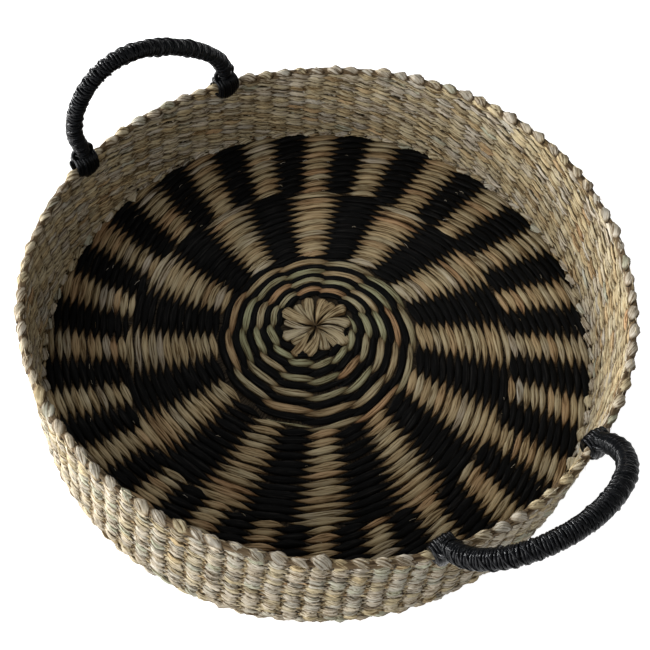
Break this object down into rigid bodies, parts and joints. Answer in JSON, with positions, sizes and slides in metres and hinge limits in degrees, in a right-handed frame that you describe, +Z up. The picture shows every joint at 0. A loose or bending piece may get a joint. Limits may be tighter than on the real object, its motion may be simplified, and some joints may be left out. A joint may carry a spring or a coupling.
{
  "type": "woven grass tray",
  "caption": "Round twined grass tray with a radial striped floor, upright ribbed wall, beaded rim and two rope-wrapped bow handles that swing on lashings.",
  "frame": {"origin": "middle of the flat base on the table", "axes": "+Z up, +X to the near handle that leans outwards, Y along the handles' hinge lines"},
  "size_m": [0.4513, 0.4096, 0.1696],
  "materials": {
    "natural_grass": "dry twisted grass, matt with a faint straw sheen",
    "black_grass": "dyed black grass, matt with a faint sheen",
    "stake_grass": "dry grass stems, matt",
    "black_twine": "tight black twine, matt",
    "rope_core": "black rope, matt"
  },
  "bodies": {
    "tray": {"floor_underside_weave": "natural_grass", "crossed_stakes": "stake_grass", "stake_01": "stake_grass", "stake_02": "stake_grass", "stake_03": "stake_grass", "stake_04": "stake_grass", "stake_05": "stake_grass", "stake_06": "stake_grass", "stake_07": "stake_grass", "stake_08": "stake_grass", "stake_09": "stake_grass", "stake_10": "stake_grass", "stake_11": "stake_grass", "stake_12": "stake_grass", "stake_13": "stake_grass", "stake_14": "stake_grass", "stake_15": "stake_grass", "stake_16": "stake_grass", "stake_17": "stake_grass", "stake_18": "stake_grass", "stake_19": "stake_grass", "stake_20": "stake_grass", "stake_21": "stake_grass", "stake_22": "stake_grass", "stake_23": "stake_grass", "stake_24": "stake_grass", "centre_rosette": "natural_grass", "spiral_strand_natural": "natural_grass", "spiral_strand_black": "black_grass", "floor_weave_natural": "natural_grass", "floor_weave_black": "black_grass", "wall_outer_weave": "natural_grass", "wall_inner_weave": "natural_grass", "rim_border": "natural_grass", "near_left_lashing": "black_twine", "near_right_lashing": "black_twine", "far_left_lashing": "black_twine", "far_right_lashing": "black_twine"},
    "near_handle": {"near_handle_core": "rope_core", "near_handle_wrap": "black_twine"},
    "far_handle": {"far_handle_core": "rope_core", "far_handle_wrap": "black_twine"}
  },
  "joints": [
    {"name": "near_handle_swing", "type": "hinge", "parent": "tray", "child": "near_handle", "pos_m": [0.19422, 0.00125, 0.08773], "axis": [0.0801, 0.9968, 0], "range_deg": [-125, 50]},
    {"name": "far_handle_swing", "type": "hinge", "parent": "tray", "child": "far_handle", "pos_m": [-0.18677, 0.00078, 0.08767], "axis": [-0.0424, -0.9991, 0], "range_deg": [-80, 95]}
  ]
}
